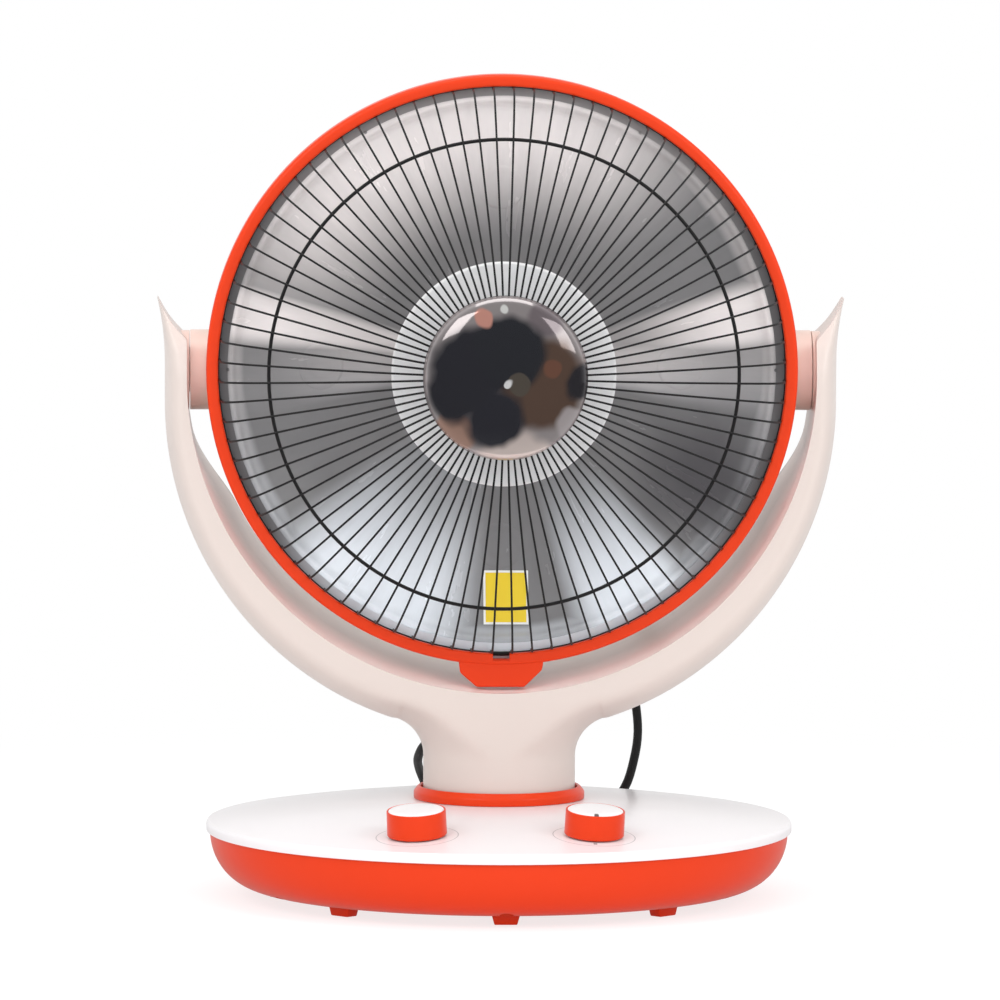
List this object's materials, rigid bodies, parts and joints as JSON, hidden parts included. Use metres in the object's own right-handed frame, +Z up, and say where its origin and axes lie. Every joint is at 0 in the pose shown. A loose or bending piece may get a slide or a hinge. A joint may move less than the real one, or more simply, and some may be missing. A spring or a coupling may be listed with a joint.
{
  "type": "tabletop carbon heater",
  "caption": "Round radiant heater head with wire grille in a U-shaped yoke that tilts and swings on a round base with two knobs.",
  "frame": {"origin": "on the table under the middle of the round base", "axes": "+Z up, the heater faces -Y, +X to the right of someone who looks at its front"},
  "size_m": [0.4022, 0.3692, 0.4858],
  "materials": {
    "orange_plastic": "gloss",
    "white_plastic": "gloss",
    "cream_plastic": "semi-gloss",
    "nylon": "satin",
    "black_plastic": "matte",
    "black_rubber": "matte",
    "zinc_steel": "satin",
    "painted_steel": "matte",
    "brass": "satin",
    "wire_enamel": "semi-gloss",
    "chrome": "mirror",
    "dark_paint": "matte",
    "spun_aluminium": "satin, spun",
    "ceramic": "matte",
    "quartz": "clear",
    "carbon": "matte",
    "label_paper": "semi-gloss"
  },
  "bodies": {
    "base": {"base_shell": "orange_plastic", "base_top": "white_plastic", "feet": "orange_plastic", "ballast_plate": "painted_steel", "base_screws": "zinc_steel", "swivel_collar": "orange_plastic", "swivel_bush": "nylon", "swing_motor": "zinc_steel", "motor_screws": "zinc_steel", "timer": "white_plastic", "power_switch": "black_plastic", "tip_over_switch": "black_plastic", "terminal_block": "ceramic", "mains_gland": "black_rubber"},
    "timer_dial": {"timer_spindle": "brass", "timer_knob": "orange_plastic", "timer_knob_inset": "white_plastic"},
    "power_dial": {"power_spindle": "brass", "power_knob": "orange_plastic", "power_knob_inset": "white_plastic"},
    "drive": {"motor_shaft": "zinc_steel", "crank": "nylon"},
    "yoke": {"yoke_front": "cream_plastic", "yoke_rear": "cream_plastic", "spigot": "zinc_steel", "spigot_screws": "zinc_steel", "swing_arm": "zinc_steel", "spigot_nut": "brass", "pivot_bushes": "nylon", "yoke_screws": "zinc_steel", "neck_gland": "black_rubber", "head_lead": "black_rubber"},
    "head": {"front_ring": "orange_plastic", "latch": "orange_plastic", "grille": "wire_enamel", "grille_cap": "chrome", "cap_clamp": "zinc_steel", "cap_screw": "zinc_steel", "shade": "chrome", "baffle_ring": "dark_paint", "reflector": "spun_aluminium", "reflector_rivets": "zinc_steel", "rear_shell": "cream_plastic", "rear_cover": "cream_plastic", "element_base": "ceramic", "quartz_tube": "quartz", "carbon_filament": "carbon", "element_cap": "ceramic", "thermal_cutout": "black_plastic", "pivot_pins": "zinc_steel", "head_screws": "zinc_steel", "cover_screws": "zinc_steel", "head_gland": "black_rubber", "blank_label": "label_paper"}
  },
  "joints": [
    {"name": "timer_turn", "type": "hinge", "parent": "base", "child": "timer_dial", "pos_m": [-0.05101, -0.12499, 0.05067], "axis": [-0.0487, -0.1192, 0.9917], "range_deg": [-300, 0]},
    {"name": "power_turn", "type": "hinge", "parent": "base", "child": "power_dial", "pos_m": [0.05101, -0.12499, 0.05067], "axis": [0.0487, -0.1192, 0.9917], "range_deg": [-180, 0]},
    {"name": "swing", "type": "hinge", "parent": "base", "child": "yoke", "pos_m": [0, 0, 0.05], "axis": [0, 0, 1], "range_deg": [-35, 35]},
    {"name": "crank_turn", "type": "hinge", "parent": "base", "child": "drive", "pos_m": [0, 0.026, 0.03], "axis": [0, 0, 1], "range_deg": [-101.5, 101.5]},
    {"name": "tilt", "type": "hinge", "parent": "yoke", "child": "head", "pos_m": [0, 0, 0.311], "axis": [-1, 0, 0], "range_deg": [0, 30], "deforming": ["head_lead"]}
  ],
  "couplings": [
    {"joint": "crank_turn", "follows": "swing", "ratio": 2.9}
  ]
}
